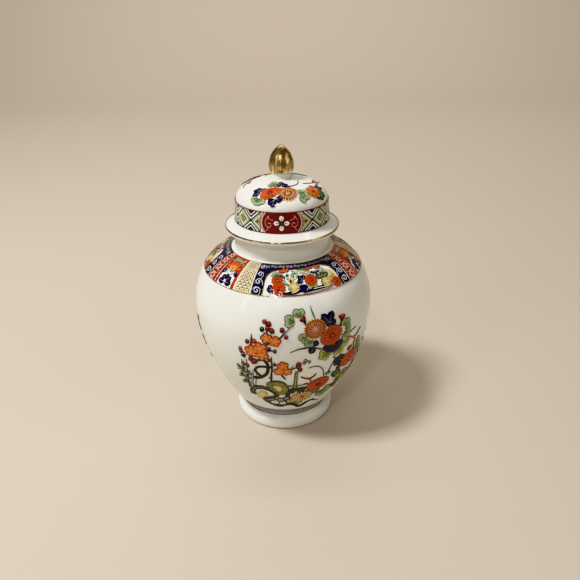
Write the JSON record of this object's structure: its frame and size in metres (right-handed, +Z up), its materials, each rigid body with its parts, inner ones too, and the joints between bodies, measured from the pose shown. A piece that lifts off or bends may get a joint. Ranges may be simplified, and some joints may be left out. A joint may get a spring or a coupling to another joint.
{
  "type": "ginger jar",
  "caption": "Covered porcelain baluster jar on a flared foot, with a loose brimmed and domed lid, a gilt bud finial and painted flower decoration.",
  "frame": {"origin": "centre of the foot's standing ring, on the surface that the jar stands on", "axes": "+Z up along the jar's axis, -Y towards the main painted scene, +X to the right of a viewer who faces that scene"},
  "size_m": [0.14, 0.14, 0.2257],
  "materials": {
    "porcelain_glaze": "clear gloss glaze over a slightly green-white porcelain body",
    "bare_foot": "unglazed fired porcelain, wiped clean of glaze",
    "cobalt_blue": "dark cobalt under the clear glaze",
    "iron_red": "opaque orange-red overglaze enamel",
    "deep_red": "opaque dark red overglaze enamel",
    "rust_enamel": "brownish orange overglaze enamel",
    "coral_enamel": "soft orange overglaze enamel",
    "leaf_green": "thin green overglaze enamel",
    "dark_green": "dark green overglaze enamel",
    "moss_yellow": "yellow-green overglaze enamel",
    "sun_yellow": "yellow overglaze enamel",
    "aubergine": "purple-brown overglaze enamel",
    "outline_black": "black-brown outline enamel",
    "pink_line": "pale pink overglaze enamel",
    "grey_scroll": "pale grey-purple overglaze enamel",
    "white_enamel": "opaque white overglaze enamel",
    "gold_lustre": "bright burnished gold lustre over the glaze"
  },
  "bodies": {
    "jar": {"jar_body": "porcelain_glaze"},
    "cover": {"lid": "porcelain_glaze", "finial": "gold_lustre"}
  },
  "joints": [
    {"name": "lid_lift", "type": "slide", "parent": "jar", "child": "cover", "axis": [0, 0, 1], "range_m": [0, 0.12]}
  ]
}
